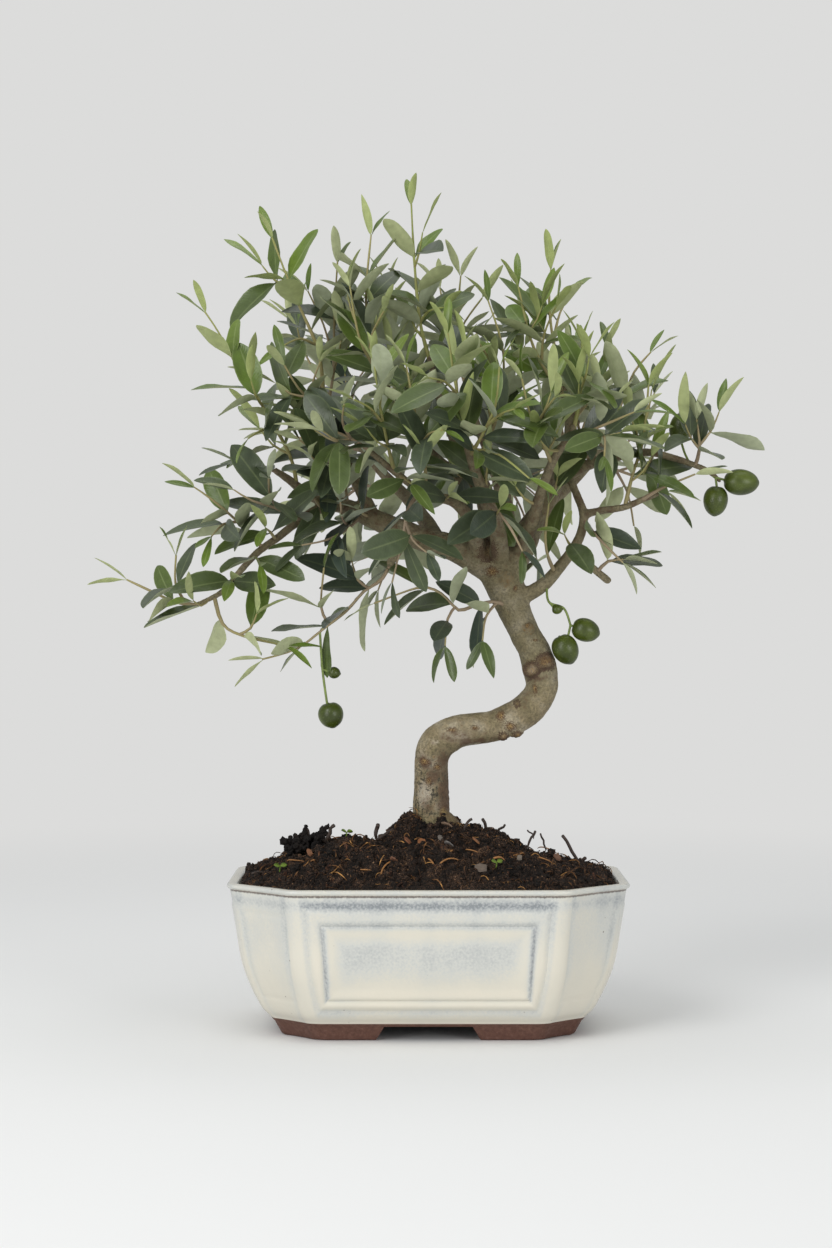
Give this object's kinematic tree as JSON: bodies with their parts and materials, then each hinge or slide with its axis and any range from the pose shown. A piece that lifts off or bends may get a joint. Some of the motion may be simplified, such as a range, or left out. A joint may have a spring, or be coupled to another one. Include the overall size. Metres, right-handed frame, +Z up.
{
  "type": "olive bonsai",
  "caption": "Olive bonsai: a curved trunk with spreading limbs, leafy shoots and hanging green olives, planted in peaty soil in a low eight-sided glazed pot on feet.",
  "frame": {"origin": "under the middle of the whole plant's box, on the surface that the pot stands on", "axes": "+Z up, +X along the pot's long side to the right as seen from its front, the pot's front towards -Y"},
  "size_m": [0.397, 0.256, 0.5088],
  "materials": {
    "glaze": "gloss",
    "bare_clay": "matte",
    "screen": "matte",
    "soil": "matte",
    "bark": "matte",
    "leaf": "satin",
    "fruit": "satin"
  },
  "bodies": {
    "root": {"pot": "glaze", "drain_screen_left": "screen", "drain_screen_right": "screen", "soil": "soil", "trunk_and_limbs": "bark", "olives_right_end": "fruit", "olives_right_arm": "fruit", "olives_lower_right": "fruit", "olives_lower_left": "fruit", "spray_left_tall": "leaf", "spray_left_stub": "leaf", "spray_upper_left": "leaf", "spray_upper_left_front": "leaf", "spray_upper_left_inner": "leaf", "spray_left_back_high": "leaf", "spray_left_back_low": "leaf", "spray_left_back_mid": "leaf", "spray_top_leader": "leaf", "spray_top_left": "leaf", "spray_top_mid": "leaf", "spray_top_back": "leaf", "spray_top_back_left": "leaf", "spray_top_back_right": "leaf", "spray_shoulder_top": "leaf", "spray_shoulder_front": "leaf", "spray_shoulder_right": "leaf", "spray_shoulder_inner": "leaf", "spray_shoulder_back": "leaf", "spray_right_high": "leaf", "spray_right_tall": "leaf", "spray_right_low": "leaf", "spray_right_end": "leaf", "spray_right_back": "leaf", "spray_low_right": "leaf", "spray_low_right_tip": "leaf", "spray_low_mid_right": "leaf", "spray_front_centre": "leaf", "spray_front_centre_right": "leaf", "spray_front_right_high": "leaf", "spray_front_right_mid": "leaf", "spray_front_right_low": "leaf", "spray_front_left_low": "leaf", "spray_front_left_high": "leaf", "spray_front_mid": "leaf", "spray_front_hanging": "leaf", "spray_front_crotch": "leaf", "spray_lower_left_tip": "leaf", "spray_lower_left_hanging": "leaf", "spray_left_low_outer": "leaf", "spray_left_low_inner": "leaf", "spray_left_front": "leaf", "spray_left_under": "leaf", "spray_drooping": "leaf", "spray_trunk_twig": "leaf", "spray_back_low": "leaf", "spray_back_left": "leaf", "spray_back_right": "leaf", "spray_back_left_high": "leaf", "spray_back_right_high": "leaf"}
  },
  "joints": []
}
